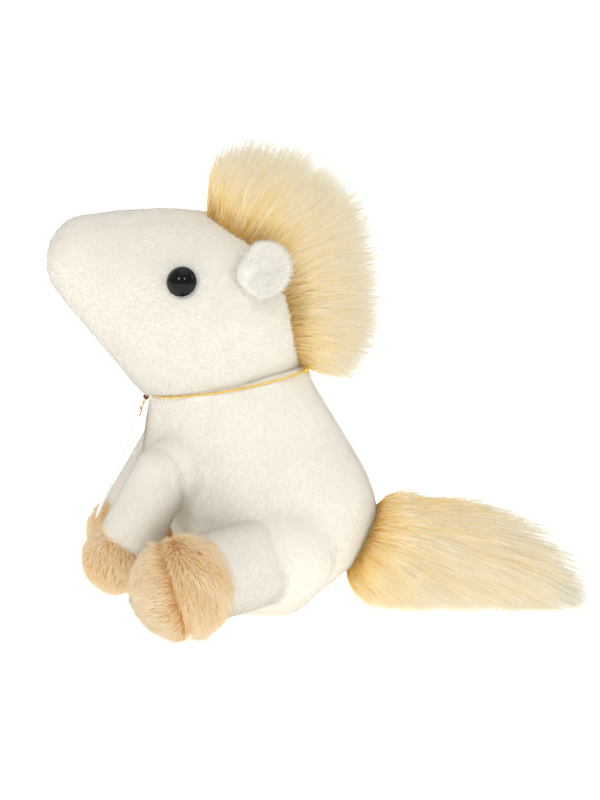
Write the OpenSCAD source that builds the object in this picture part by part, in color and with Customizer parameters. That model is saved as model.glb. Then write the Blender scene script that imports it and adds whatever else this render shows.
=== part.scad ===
// Seated plush pony with a long-pile mane and tail, a gold neck cord and a blank hang tag.
// It faces -Y, its left side is +X and +Z is up. The origin is the middle of its flat seat patch.
// Each skin panel is a thin fabric shell over its stuffing. Limbs, head and tail sit on soft
// stuffed balls, with a small gap between bodies, so that each can swing without overlap.

/* [Body] */
// Front-to-back radius of the rump
rump_r = 36; // [30:0.5:44]
// Half width of the body at the rump
rump_half_w = 38; // [32:0.5:46]
// Height of the middle of the rump
rump_h = 43; // [37:0.5:50]
// Distance of the middle of the rump behind the seat
rump_back = 10; // [6:0.5:16]
// Front-to-back radius of the chest
chest_r = 30; // [25:0.5:36]
// Half width of the chest
chest_half_w = 28; // [24:0.5:34]
// Height of the middle of the chest
chest_h = 62; // [56:0.5:66]
// Radius of the flat round seat patch
seat_patch_r = 12; // [8:0.5:12.5]

/* [Neck] */
// Height of the middle of the neck
neck_h = 92.5; // [86:0.5:110]
// Distance of the neck in front of the seat
neck_fwd = 12.5; // [8:0.5:16]
// Front-to-back radius of the neck
neck_r = 31.5; // [27:0.5:36]
// Half width of the neck
neck_half_w = 26; // [24.5:0.5:32]
// Radius of the stuffed ball that the head turns on
neck_ball_r = 21; // [17:0.5:22]
// Forward lean of the neck in degrees
neck_lean = 10; // [0:1:15]

/* [Head] */
// Radius of the back of the head, seen from the side
head_r = 41; // [35:0.5:50]
// Half width of the head
head_half_w = 31; // [26:0.5:38]
// Distance that the head is set forward on the neck
head_fwd = 4; // [0:0.5:8]
// Radius of the muzzle, seen from the side
muzzle_r = 18; // [15:0.5:22]
// Half width of the muzzle
muzzle_half_w = 16; // [13:0.5:20]
// Distance of the muzzle in front of the middle of the head
muzzle_reach = 45.5; // [38:0.5:55]
// Distance of the muzzle above the middle of the head
muzzle_rise = 20.5; // [14:0.5:23]
// Width of the middle panel of the head
gusset_w = 18; // [12:0.5:22]
// Radius of an eye's dome
eye_r = 6; // [4.5:0.1:7.5]
// Radius of an ear
ear_r = 12; // [9:0.5:15]

/* [Mane] */
// Length of the mane's pile
mane_pile = 27; // [20:0.5:34]
// Length of the mane's pile at the sides
mane_side_pile = 7; // [4:0.5:12]

/* [Fore legs] */
// Radius of a fore hoof
fore_hoof_r = 15.5; // [13:0.5:18.5]
// Distance of a fore hoof in front of the seat
fore_hoof_fwd = 55.5; // [50:0.5:66]
// Height of the middle of a fore hoof
fore_hoof_h = 28; // [22:0.5:34]
// Radius of a fore leg's upper end
shoulder_r = 13; // [10:0.5:15]

/* [Hind legs] */
// Radius of a hind hoof
hind_hoof_r = 21; // [18:0.5:25.5]
// Distance of a hind hoof in front of the seat
hind_hoof_fwd = 31; // [26:0.5:37]
// Radius of a hind leg's upper end
hip_r = 19; // [16:0.5:22]
// Height of the middle of a hind leg's upper end
hip_h = 28; // [24:0.5:33]

/* [Tail] */
// Length of the tail from its root
tail_len = 88; // [72:1:106]
// Half width of the tail's pile
tail_half_w = 26; // [20:0.5:31]
// Height of the tail's pile
tail_pile_h = 47; // [39:0.5:50]
// Radius of the tail's sewn root
tail_root_r = 6; // [4.5:0.5:7.5]

/* [Cord and tag] */
// Radius of the neck cord
cord_r = 0.6; // [0.4:0.1:0.8]
// Width of the tag
tag_w = 16; // [12:0.5:20]
// Length of the tag
tag_len = 46; // [38:0.5:55]

/* [Fabric] */
// Thickness of the fabric
skin = 1.2; // [0.8:0.1:1.6]

/* [Hidden] */
$fn = 64;
HULL_FN = 30;      // facets of a ball inside a hull
ROOM_FN = 36;      // facets of a ball cut from the torso
CAP_FN = 240;      // facets of a shallow cap's outline
BIG = 400;         // longer than the toy
GAP = 0.5;         // between two bodies
FIT = 0.1;         // between two pieces of one body
HEAD_ROOM = 12.5;  // angle in degrees between the shoulders and the underside of the head
SHOULDER_LIFT = 60;  // travel of a fore leg in degrees
HIP_SPREAD = 25;     // travel of a hind leg in degrees
EAR_OUT = 30;        // travel of an ear away from the head in degrees
EAR_IN = 20;         // travel of an ear towards the head in degrees
TAIL_LIFT = 35;      // travel of the tail upwards in degrees
TAIL_SWING = 25;     // travel of the tail to each side in degrees

SEAT = [0, 0, 30];                       // middle of the seat's bulge
SEAT_R = [33, 31, 33];                   // its radii
RUMP = [0, rump_back, rump_h];
CHEST = [0, -18, chest_h];
CHEST_DEPTH = 26;                        // upright radius of the chest
RUMP_DEPTH = 34;                         // upright radius of the rump
NECK = [0, -neck_fwd, neck_h];
CROWN = NECK + [0, -head_fwd - head_lift() * sin(neck_lean), head_lift() * cos(neck_lean)];
MUZZLE = CROWN + [0, -muzzle_reach, muzzle_rise];

WHITE = "#f3f0e8";
GOLD_PILE = "#ecd08f";
HOOF_PILE = "#e2cba0";
SOLE_PILE = "#e8dbbd";
STUFFING = "#fbfaf6";

// Height of the head's middle over the neck, where its outline is as wide as the neck.
function head_lift() = sqrt(head_r * head_r - neck_r * neck_r);
function unit(v) = v / norm(v);
// A point on the left side of the head, from its place behind and above the head's middle.
function on_side(back, up) =
    [head_half_w * sqrt(1 - (back * back + up * up) / (head_r * head_r)), back, up];
// The way out of the head at such a point.
function way_out(p) =
    unit([p.x / pow(head_half_w, 2), p.y / pow(head_r, 2), p.z / pow(head_r, 2)]);

module ball(middle, radii) {
    translate(middle) scale(radii) sphere(r = 1, $fn = HULL_FN);
}

module half(side) {
    translate([side > 0 ? 0 : -BIG, -BIG / 2, -BIG / 2]) cube(BIG);
}

module both_sides() {
    children();
    mirror([1, 0, 0]) children();
}

module on(side) {
    mirror([side > 0 ? 0 : 1, 0, 0]) children();
}

// Puts children on the line between two points, with +Z along it.
module along(from, to) {
    way = to - from;
    translate(from) rotate([0, acos(way.z / norm(way)), atan2(way.y, way.x)]) children();
}

module at_neck() {
    translate(NECK) rotate([neck_lean, 0, 0]) children();
}

// A round cap, flat at z = 0.
module cap(r, h) {
    big_r = (r * r + h * h) / (2 * h);
    rotate_extrude() intersection() {
        translate([0, h - big_r]) circle(big_r, $fn = CAP_FN);
        square([r, h]);
    }
}

module disc(r, h) {
    cylinder(r = r, h = h);
}

// ---- Torso ----

module torso_shape(inset) {
    intersection() {
        hull() {
            ball(SEAT, SEAT_R - inset * [1, 1, 1]);
            ball(RUMP, [rump_half_w, rump_r, RUMP_DEPTH] - inset * [1, 1, 1]);
            ball(CHEST, [chest_half_w, chest_r, CHEST_DEPTH] - inset * [1, 1, 1]);
            at_neck() translate([0, 0, -2 - inset])
                scale([neck_half_w - inset, neck_r - inset, 1])
                    cylinder(r = 1, h = 2, $fn = HULL_FN);
        }
        translate([-BIG / 2, -BIG / 2, inset]) cube(BIG);
    }
}

// Space in the torso for the neck ball, the limbs over their travel and the tail's root.
module torso_room() {
    translate(NECK) sphere(r = neck_ball_r + GAP, $fn = ROOM_FN);
    translate(TAIL_ROOT) sphere(r = tail_root_r + GAP, $fn = ROOM_FN);
    both_sides() {
        translate(SHOULDER) sphere(r = shoulder_r + GAP, $fn = ROOM_FN);
        translate(HIP) sphere(r = hip_r + GAP, $fn = ROOM_FN);
        for (turn = [0 : 15 : SHOULDER_LIFT])
            translate(SHOULDER) rotate([-turn, 0, 0]) translate(-SHOULDER)
                leg_room(SHOULDER, FORE_HOOF, shoulder_r, FORE_CUFF_R, FORE_CUFF);
        for (turn = [0 : HIP_SPREAD / 2 : HIP_SPREAD])
            translate(HIP) rotate([0, 0, turn]) translate(-HIP)
                leg_room(HIP, HIND_HOOF, hip_r, HIND_CUFF_R, HIND_CUFF);
    }
}

module leg_room(root, hoof, root_r, cuff_r, cuff_back) {
    along(root, hoof) hull() {
        cylinder(r = root_r + GAP, h = 1, $fn = HULL_FN);
        translate([0, 0, norm(hoof - root) - cuff_back - 1])
            cylinder(r = cuff_r + GAP, h = 1 + GAP, $fn = HULL_FN);
    }
}

module torso_panel(side) {
    color(WHITE) difference() {
        intersection() {
            torso_shape(0);
            half(side);
        }
        torso_shape(skin);
        torso_room();
        translate([0, 0, -1]) disc(seat_patch_r, skin + 2);
    }
}

module seat_patch() {
    color(WHITE) disc(seat_patch_r - FIT, skin);
}

POUCH_H = 16;      // height of the bag of pellets
POUCH_AT = [0, 2, 4];

// Radius of the bag of pellets, which lies between the hind legs' upper ends.
function pouch_r() = min(15, HIP.x + POUCH_H / 2 - sqrt(
    pow(hip_r + POUCH_H / 2 + GAP, 2) - pow(HIP.z - POUCH_AT.z - POUCH_H / 2, 2)));

module pellet_pouch() {
    color("#e9e4d8") translate(POUCH_AT) rotate_extrude() intersection() {
        hull() for (x = [0, pouch_r() - POUCH_H / 2])
            translate([x, POUCH_H / 2]) circle(POUCH_H / 2);
        square([pouch_r(), POUCH_H]);
    }
}

module torso_stuffing() {
    color(STUFFING) difference() {
        torso_shape(skin);
        torso_room();
        translate(POUCH_AT - [0, 0, FIT])
            cylinder(r = pouch_r() + FIT, h = POUCH_H + 2 * FIT, $fn = ROOM_FN);
    }
}

// ---- Head ----

NECK_EDGE = 60;    // radius past the head, for cutting its underside

module neck_ball() {
    color(STUFFING) translate(NECK) sphere(r = neck_ball_r);
}

module head_shape(grow) {
    hull() {
        ball(CROWN, [head_half_w, head_r, head_r] + grow * [1, 1, 1]);
        ball(MUZZLE, [muzzle_half_w, muzzle_r, muzzle_r] + grow * [1, 1, 1]);
    }
}

// Space under the head for the shoulders, out to a radius, and for the neck ball.
module neck_room(out) {
    at_neck() rotate_extrude() polygon([[0, -30], [out, -30], [out, out * tan(HEAD_ROOM)], [0, 0]]);
    translate(NECK) sphere(r = neck_ball_r + GAP);
}

EYE = on_side(-10, 17.5);          // from the middle of the head
EYE_H = 4.2;                       // height of an eye's dome
EYE_LIFT = 0.15;                   // gap from the dome to the fabric
POST_R = 2;                        // radius of an eye's post
POST_LEN = 9;
WASHER_R = 7;
WASHER_H = 1.2;
WASHER_DEPTH = skin + 2;           // from the fabric's face to the washer's back

module at_eye() {
    translate(CROWN) along(EYE, EYE + way_out(EYE)) children();
}

module eye_room() {
    both_sides() at_eye() {
        translate([0, 0, -WASHER_DEPTH - FIT]) disc(WASHER_R + FIT, WASHER_DEPTH - skin + 1);
        translate([0, 0, -POST_LEN - GAP]) disc(POST_R + GAP, POST_LEN + 3);
    }
}

module post_hole() {
    both_sides() at_eye() translate([0, 0, -POST_LEN]) disc(POST_R + GAP, POST_LEN + 3);
}

module gusset_band() {
    translate([-gusset_w / 2, -BIG / 2, 0]) cube([gusset_w, BIG, BIG]);
}

module head_panel(side) {
    color(WHITE) difference() {
        intersection() {
            head_shape(0);
            half(side);
        }
        head_shape(-skin);
        gusset_band();
        neck_room(NECK_EDGE);
        post_hole();
    }
}

module head_gusset() {
    color(WHITE) difference() {
        intersection() {
            head_shape(0);
            gusset_band();
        }
        head_shape(-skin);
        neck_room(NECK_EDGE);
    }
}

module head_stuffing() {
    color(STUFFING) difference() {
        head_shape(-skin);
        neck_room(NECK_EDGE);
        eye_room();
    }
}

module eye(side) {
    color("#0b0b0d") on(side) at_eye() {
        translate([0, 0, EYE_LIFT]) cap(eye_r, EYE_H);
        translate([0, 0, -POST_LEN]) disc(POST_R, POST_LEN + EYE_LIFT);
    }
}

module eye_washer(side) {
    color("#d9d9d6") on(side) at_eye() translate([0, 0, -WASHER_DEPTH]) difference() {
        disc(WASHER_R, WASHER_H);
        translate([0, 0, -1]) disc(POST_R + FIT, WASHER_H + 2);
    }
}

// An ear is a round flap that starts on the side of the head and points back and out.
EAR = on_side(10.5, 22.5);         // from the middle of the head
EAR_OUTWARD = way_out(EAR);
EAR_UP = unit([0, 0, 1] - EAR_OUTWARD.z * EAR_OUTWARD);
EAR_BACK = cross(EAR_UP, EAR_OUTWARD);
EAR_HINGE = CROWN + EAR + 0.8 * EAR_OUTWARD;
EAR_SPREAD = 42;                   // angle between the flap and the head in degrees
EAR_FRONT_H = 2.6;                 // thickness of the outer layer
EAR_LINING_H = 1.6;

module at_ear(turn) {
    multmatrix([
        [EAR_BACK.x, EAR_UP.x, EAR_OUTWARD.x, EAR_HINGE.x],
        [EAR_BACK.y, EAR_UP.y, EAR_OUTWARD.y, EAR_HINGE.y],
        [EAR_BACK.z, EAR_UP.z, EAR_OUTWARD.z, EAR_HINGE.z],
    ]) rotate([0, -EAR_SPREAD - turn, 0]) translate([ear_r, 0, 0]) children();
}

module ear_outer(side) {
    color("#f8f6f0") on(side) at_ear(0) cap(ear_r, EAR_FRONT_H);
}

module ear_lining(side) {
    color("#f8f6f0") on(side) at_ear(0) mirror([0, 0, 1]) cap(ear_r, EAR_LINING_H);
}

// Space beside the mane for both ears over their travel.
module ear_room() {
    both_sides() hull() for (turn = [-EAR_IN : (EAR_OUT + EAR_IN) / 3 : EAR_OUT])
        at_ear(turn) translate([0, 0, -EAR_LINING_H - GAP])
            cylinder(r = ear_r + GAP, h = EAR_LINING_H + EAR_FRONT_H + 2 * GAP, $fn = HULL_FN);
}

// ---- Mane ----

BACKING = 1.5;                     // thickness of the mane's backing
// The mane's front edge on the side of the head, in head radii behind and above its middle.
MANE_ROOT = [[-0.05, 0.98], [0.46, 0.68], [0.73, 0.22], [0.86, -0.54]];
MANE_HEM = 0.5;                    // height of the mane's lowest pile over the neck
NECK_CLEAR = neck_r + 9.5;         // radius of the space left for the cord's knot

module mane_side() {
    translate(CROWN) rotate([90, 0, 90]) translate([0, 0, -BIG / 2]) linear_extrude(BIG)
        polygon(concat([[MANE_ROOT[0].x * head_r, BIG]], head_r * MANE_ROOT,
                       [[MANE_ROOT[3].x * head_r, -BIG], [BIG, -BIG], [BIG, BIG]]));
}

module mane_backing() {
    color(GOLD_PILE) difference() {
        intersection() {
            head_shape(BACKING);
            mane_side();
        }
        head_shape(FIT);
        neck_room(NECK_CLEAR);
    }
}

module mane_shape() {
    hull() {
        ball(CROWN + [0, 17, 23], [head_half_w + mane_side_pile, head_r + mane_pile - 22, head_r + mane_pile - 22]);
        ball(CROWN + [0, 28, 3], [head_half_w + mane_side_pile - 3, head_r + mane_pile - 29, head_r + mane_pile - 28]);
    }
}

module mane_pile() {
    color(GOLD_PILE) difference() {
        intersection() {
            mane_shape();
            mane_side();
            translate([-BIG / 2, -BIG / 2, NECK.z + MANE_HEM]) cube(BIG);
        }
        head_shape(BACKING + FIT);
        neck_room(NECK_CLEAR);
        ear_room();
    }
}

// ---- Legs ----

TAG_SIDE_GAP = 1.5;                // from the tag's edge to a fore hoof
HOOF_GAP = 1.4;                    // between a fore hoof and a hind hoof
HEM = 0.8;                         // how far a sleeve's hem stands out from the hoof
FORE_CUFF = 6;                     // from a fore hoof's middle back to its sleeve
FORE_SEAM = 4;                     // from a fore hoof's middle out to its sole
HIND_CUFF = 12.3;
HIND_SEAM = 8;
FORE_CUFF_R = sqrt(fore_hoof_r * fore_hoof_r - FORE_CUFF * FORE_CUFF) + HEM;
HIND_CUFF_R = sqrt(hind_hoof_r * hind_hoof_r - HIND_CUFF * HIND_CUFF) + HEM;
SHOULDER = CHEST + [chest_half_w - 4, -chest_r + 10, -2];
FORE_HOOF = [tag_w / 2 + TAG_SIDE_GAP + fore_hoof_r, -fore_hoof_fwd, fore_hoof_h];
HIP = [rump_half_w - 8, 3, hip_h];
HOOF_SPAN = fore_hoof_r + hind_hoof_r + HOOF_GAP;
HIND_HOOF = [FORE_HOOF.x + hoof_apart(), -hind_hoof_fwd, hind_hoof_r];

// How far a hind hoof is out from a fore hoof, so that the two stay a gap apart.
function hoof_apart() = sqrt(pow(HOOF_SPAN, 2) - pow(fore_hoof_fwd - hind_hoof_fwd, 2)
                             - pow(fore_hoof_h - hind_hoof_r, 2));

// Half outline of a leg down to its cuff, along Y.
module sleeve_outline(root_r, cuff_r, cuff_at) {
    intersection() {
        hull() {
            circle(root_r);
            translate([0, cuff_at - 1]) square([cuff_r, 1]);
        }
        translate([0, -root_r]) square([BIG, BIG]);
    }
}

// Half outline of a hoof's ball between two heights.
module hoof_outline(r, middle, low, high) {
    intersection() {
        translate([0, middle]) circle(r);
        translate([0, low]) square([r, high - low]);
    }
}

module sleeve(root, hoof, root_r, cuff_r, cuff_back) {
    cuff_at = norm(hoof - root) - cuff_back;
    along(root, hoof) rotate_extrude() difference() {
        sleeve_outline(root_r, cuff_r, cuff_at);
        sleeve_outline(root_r - skin, cuff_r - skin - HEM, cuff_at);
        translate([0, cuff_at - 2]) square([cuff_r - skin - HEM, 4]);
    }
}

module hoof_side(root, hoof, r, cuff_back, seam) {
    len = norm(hoof - root);
    along(root, hoof) rotate_extrude() difference() {
        hoof_outline(r, len, len - cuff_back, len + seam);
        translate([0, len]) circle(r - skin);
    }
}

module hoof_sole(root, hoof, r, seam) {
    len = norm(hoof - root);
    along(root, hoof) rotate_extrude() difference() {
        hoof_outline(r, len, len + seam, len + r);
        translate([0, len]) circle(r - skin);
    }
}

module leg_stuffing(root, hoof, root_r, cuff_r, cuff_back, r) {
    len = norm(hoof - root);
    along(root, hoof) rotate_extrude() {
        sleeve_outline(root_r - skin - FIT, cuff_r - skin - HEM - FIT, len - cuff_back);
        hoof_outline(r - skin - FIT, len, len - cuff_back, len + r);
    }
}

module fore_sleeve(side) {
    color(WHITE) on(side) sleeve(SHOULDER, FORE_HOOF, shoulder_r, FORE_CUFF_R, FORE_CUFF);
}

module fore_hoof(side) {
    color(HOOF_PILE) on(side) hoof_side(SHOULDER, FORE_HOOF, fore_hoof_r, FORE_CUFF, FORE_SEAM);
}

module fore_sole(side) {
    color(SOLE_PILE) on(side) hoof_sole(SHOULDER, FORE_HOOF, fore_hoof_r, FORE_SEAM);
}

module fore_stuffing(side) {
    color(STUFFING) on(side)
        leg_stuffing(SHOULDER, FORE_HOOF, shoulder_r, FORE_CUFF_R, FORE_CUFF, fore_hoof_r);
}

module hind_sleeve(side) {
    color(WHITE) on(side) sleeve(HIP, HIND_HOOF, hip_r, HIND_CUFF_R, HIND_CUFF);
}

module hind_hoof(side) {
    color(HOOF_PILE) on(side) hoof_side(HIP, HIND_HOOF, hind_hoof_r, HIND_CUFF, HIND_SEAM);
}

module hind_sole(side) {
    color(SOLE_PILE) on(side) hoof_sole(HIP, HIND_HOOF, hind_hoof_r, HIND_SEAM);
}

module hind_stuffing(side) {
    color(STUFFING) on(side)
        leg_stuffing(HIP, HIND_HOOF, hip_r, HIND_CUFF_R, HIND_CUFF, hind_hoof_r);
}

// ---- Tail ----

TAIL_ROOT_H = 30;
TAIL_ROOT = [0, rump_edge(TAIL_ROOT_H), TAIL_ROOT_H];
TAIL_DROP = 15;                    // angle of the tail's core below level in degrees
TAIL_CORE_R = 4;
TAIL_CORE_LEN = 40;
TAIL_START = rump_back + rump_r - TAIL_ROOT.y + 1;  // from the root to the first of the pile
FLOOR_GAP = 0.3;

// Place of the rump's back at a height.
function rump_edge(h) = rump_back + rump_r * sqrt(1 - pow((h - rump_h) / RUMP_DEPTH, 2));

module tail_root() {
    color(GOLD_PILE) translate(TAIL_ROOT) sphere(r = tail_root_r);
}

module tail_core_shape(grow) {
    translate(TAIL_ROOT) rotate([-90 - TAIL_DROP, 0, 0]) difference() {
        cylinder(r = TAIL_CORE_R + grow, h = TAIL_CORE_LEN + grow);
        if (grow == 0) sphere(r = tail_root_r + GAP);
    }
}

module tail_core() {
    color(GOLD_PILE) tail_core_shape(0);
}

module tail_pile() {
    tuft_h = tail_pile_h / 2;
    color(GOLD_PILE) difference() {
        hull() {
            ball([0, TAIL_ROOT.y + 20, tuft_h + FLOOR_GAP], [tail_half_w, 20, tuft_h]);
            ball([0, TAIL_ROOT.y + tail_len * 0.58, tuft_h * 0.86 + FLOOR_GAP],
                 [tail_half_w * 0.95, 20, tuft_h * 0.86]);
            ball([0, TAIL_ROOT.y + tail_len - 13, 11 + FLOOR_GAP], [tail_half_w * 0.62, 13, 11]);
        }
        for (lift = [0, TAIL_LIFT], swing = [-TAIL_SWING, 0, TAIL_SWING])
            translate(TAIL_ROOT) rotate([-lift, 0, 0]) rotate([0, 0, -swing])
                translate([-BIG / 2, TAIL_START - BIG, -BIG / 2]) cube(BIG);
        tail_core_shape(FIT);
    }
}

// ---- Cord and tag ----

CORD_RING = neck_r + cord_r + 0.3;      // radius of the cord's loop, front to back
CORD_WIDE = (neck_half_w + cord_r + 0.3) / CORD_RING;
CORD_UP = cord_r + FIT;                 // height of the cord over the shoulders
KNOT_TURN = 22;                         // angle of the knot from the back in degrees
KNOT_R = 1.9;
BEAD_R = 1.3;
BEAD_BELOW = 30;                        // angle of the bead in front of the cord in degrees
CORD_FRONT = NECK + CORD_RING * [0, -cos(neck_lean), -sin(neck_lean)]
             + CORD_UP * [0, -sin(neck_lean), cos(neck_lean)];
BEAD = CORD_FRONT + (cord_r + BEAD_R + 0.15) * [0, -sin(BEAD_BELOW), -cos(BEAD_BELOW)];
TAG_LEAN = 22;                          // angle of the tag from upright in degrees
THREAD_R = 0.35;
LOOP_W = 3;                             // outer width of the tag's thread loop
LOOP_LEN = 8;
CARD_H = 0.5;
TAG_HOLE_R = 1.4;
TAG_TOP = LOOP_LEN - 3.2;               // from the bead to the card's top edge
TAG_CORNER = 3;

CORD_STATIONS = 56;
CORD_SIDES = 8;

// The cord is swept round an oval, level with the shoulders.
function cord_point(turn, side) =
    let (reach = cord_r * cos(side))
    [(CORD_WIDE * CORD_RING + reach) * cos(turn), (CORD_RING + reach) * sin(turn), cord_r * sin(side)];

module neck_cord() {
    points = [for (i = [0 : CORD_STATIONS - 1], j = [0 : CORD_SIDES - 1])
        cord_point(i * 360 / CORD_STATIONS, j * 360 / CORD_SIDES)];
    faces = [for (i = [0 : CORD_STATIONS - 1], j = [0 : CORD_SIDES - 1])
        let (next = (i + 1) % CORD_STATIONS, over = (j + 1) % CORD_SIDES)
        [i * CORD_SIDES + j, i * CORD_SIDES + over, next * CORD_SIDES + over, next * CORD_SIDES + j]];
    color("#e3c16a") at_neck() translate([0, 0, CORD_UP]) polyhedron(points, faces);
}

// The knot sits just outside the cord, with a small bow loop and two short ends.
module cord_knot() {
    out = CORD_RING + cord_r + KNOT_R + FIT;
    at = [CORD_WIDE * out * sin(KNOT_TURN), out * cos(KNOT_TURN), CORD_UP];
    color("#e3c16a") at_neck() translate(at) rotate([0, 0, -KNOT_TURN]) {
        sphere(r = KNOT_R);
        for (side = [-1, 1]) rotate([-70, 0, 25 * side]) translate([0, 0, KNOT_R / 2]) cylinder(r = 0.4, h = 4.2);
    }
}

// Puts children in the tag's own frame: down along -Y, the card's face along +Z.
module at_tag() {
    translate(BEAD) rotate([90 - TAG_LEAN, 0, 0]) children();
}

module tag_bead() {
    color("#8e3b22") translate(BEAD) sphere(r = BEAD_R);
}

module loop_outline(w, len) {
    hull() for (end = [w / 2, len - w / 2]) translate([0, -end]) circle(w / 2);
}

module tag_loop() {
    color("#e3c16a") at_tag() translate([0, -BEAD_R - FIT, CARD_H / 2 + FIT])
        linear_extrude(2 * THREAD_R) difference() {
            loop_outline(LOOP_W, LOOP_LEN);
            translate([0, -2 * THREAD_R])
                loop_outline(LOOP_W - 4 * THREAD_R, LOOP_LEN - 4 * THREAD_R);
        }
}

module tag_card() {
    color("#e9e9e6") at_tag() translate([0, -TAG_TOP, -CARD_H / 2]) linear_extrude(CARD_H)
        difference() {
            hull() for (x = [-1, 1], y = [-TAG_CORNER, TAG_CORNER - tag_len])
                translate([x * (tag_w / 2 - TAG_CORNER), y]) circle(TAG_CORNER);
            translate([0, -3.4]) circle(TAG_HOLE_R);
        }
}

torso_panel(1);  // torso_panel_left
torso_panel(-1);  // torso_panel_right
seat_patch();
pellet_pouch();
torso_stuffing();
neck_ball();
head_panel(1);  // head_panel_left
head_panel(-1);  // head_panel_right
head_gusset();
head_stuffing();
eye(1);  // eye_left
eye(-1);  // eye_right
eye_washer(1);  // eye_washer_left
eye_washer(-1);  // eye_washer_right
ear_outer(1);  // ear_outer_left
ear_lining(1);  // ear_lining_left
ear_outer(-1);  // ear_outer_right
ear_lining(-1);  // ear_lining_right
mane_backing();
mane_pile();
fore_sleeve(1);  // fore_sleeve_left
fore_hoof(1);  // fore_hoof_left
fore_sole(1);  // fore_sole_left
fore_stuffing(1);  // fore_stuffing_left
fore_sleeve(-1);  // fore_sleeve_right
fore_hoof(-1);  // fore_hoof_right
fore_sole(-1);  // fore_sole_right
fore_stuffing(-1);  // fore_stuffing_right
hind_sleeve(1);  // hind_sleeve_left
hind_hoof(1);  // hind_hoof_left
hind_sole(1);  // hind_sole_left
hind_stuffing(1);  // hind_stuffing_left
hind_sleeve(-1);  // hind_sleeve_right
hind_hoof(-1);  // hind_hoof_right
hind_sole(-1);  // hind_sole_right
hind_stuffing(-1);  // hind_stuffing_right
tail_root();
tail_core();
tail_pile();
neck_cord();
cord_knot();
tag_bead();
tag_loop();
tag_card();
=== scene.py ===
"""The looks of a seated plush pony: short white plush, long golden pile and a studio floor."""

from math import cos, pi, radians, sin

import bpy
import numpy as np
from mathutils import Matrix, Vector
from mathutils.bvhtree import BVHTree
from mathutils.kdtree import KDTree


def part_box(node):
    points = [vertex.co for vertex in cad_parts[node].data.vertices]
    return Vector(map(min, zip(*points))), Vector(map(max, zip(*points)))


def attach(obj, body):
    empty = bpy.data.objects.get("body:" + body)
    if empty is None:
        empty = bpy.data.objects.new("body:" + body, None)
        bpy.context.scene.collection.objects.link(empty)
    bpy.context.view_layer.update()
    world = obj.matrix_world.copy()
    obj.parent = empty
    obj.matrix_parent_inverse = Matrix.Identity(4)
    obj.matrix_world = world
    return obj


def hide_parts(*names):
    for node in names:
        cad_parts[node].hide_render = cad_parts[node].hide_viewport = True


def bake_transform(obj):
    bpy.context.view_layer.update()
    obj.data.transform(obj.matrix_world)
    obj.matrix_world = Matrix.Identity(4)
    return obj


bl_info = {
    "name": "Plush Pony",
    "version": (1, 0, 0),
    "blender": (4, 5, 0),
    "location": "3D View > Sidebar > Pony",
    "description": "Sews, stuffs and combs a seated plush pony around its packed frame",
    "category": "Object",
}

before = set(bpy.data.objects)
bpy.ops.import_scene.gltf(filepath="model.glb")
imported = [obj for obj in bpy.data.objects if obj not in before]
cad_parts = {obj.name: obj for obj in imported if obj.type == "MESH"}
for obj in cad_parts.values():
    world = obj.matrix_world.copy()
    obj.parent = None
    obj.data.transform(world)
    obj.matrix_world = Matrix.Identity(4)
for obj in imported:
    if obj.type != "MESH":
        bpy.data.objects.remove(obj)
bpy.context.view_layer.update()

MM = 0.001


def mm(*numbers):
    """Numbers in millimetres as a vector in metres."""
    return Vector(numbers) * MM


# The forms that the pattern is cut to, as in the frame: middles and radii.
SEAT, SEAT_R = mm(0, 0, 30), mm(33, 31, 33)
RUMP, RUMP_R = mm(0, 10, 43), mm(38, 36, 34)
CHEST, CHEST_R = mm(0, -18, 62), mm(28, 30, 26)
NECK, NECK_R = mm(0, -12.5, 92.5), (26 * MM, 31.5 * MM)
NECK_LEAN = radians(10)
NECK_AXIS = Vector((0, -sin(NECK_LEAN), cos(NECK_LEAN)))
CROWN, CROWN_R = mm(0, -21.06, 118.35), mm(31, 41, 41)
MUZZLE, MUZZLE_R = mm(0, -66.56, 138.85), mm(16, 18, 18)
SHOULDER, FORE_HOOF = mm(24, -38, 60), mm(25, -55.5, 28)
HIP, HIND_HOOF = mm(30, 3, 28), mm(53.06, -31, 21)
TAIL_ROOT, TAIL_END = mm(0, 44, 33), mm(0, 86, 16)
# The mane's front edge on the side of the head: heights over the crown, and places behind it.
MANE_UP = np.array([-0.54, 0.22, 0.68, 0.98]) * 0.041
MANE_BACK = np.array([0.86, 0.73, 0.46, -0.05]) * 0.041
# The mane's hairs, and the gold cloth under them, start at this height.
MANE_LOW = 0.0965
# Where the mane's hairs fan out from.
MANE_FAN = mm(0, -23, 107)
EYE_R, EYE_H = 6 * MM, 4.2 * MM
EAR_R = 12 * MM
BLACK = (0, 0, 0)
LEFT, RIGHT = 1, -1
SIDES = ((LEFT, "left"), (RIGHT, "right"))


def linear(code):
    """An sRGB hex value as a linear colour."""
    parts = (int(code[i : i + 2], 16) / 255 for i in (1, 3, 5))
    return tuple(c / 12.92 if c <= 0.04045 else ((c + 0.055) / 1.055) ** 2.4 for c in parts)


def colour(name, description, code):
    return bpy.props.FloatVectorProperty(
        name=name, description=description, subtype="COLOR", size=3, min=0, max=1, default=linear(code)
    )


def length(name, description, default, low=0.0, high=0.2):
    return bpy.props.FloatProperty(
        name=name, description=description, default=default * MM, min=low, max=high,
        precision=5, subtype="DISTANCE", unit="LENGTH",
    )


def count(name, description, default):
    return bpy.props.IntProperty(name=name, description=description, default=default, min=100, max=60000)


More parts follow.
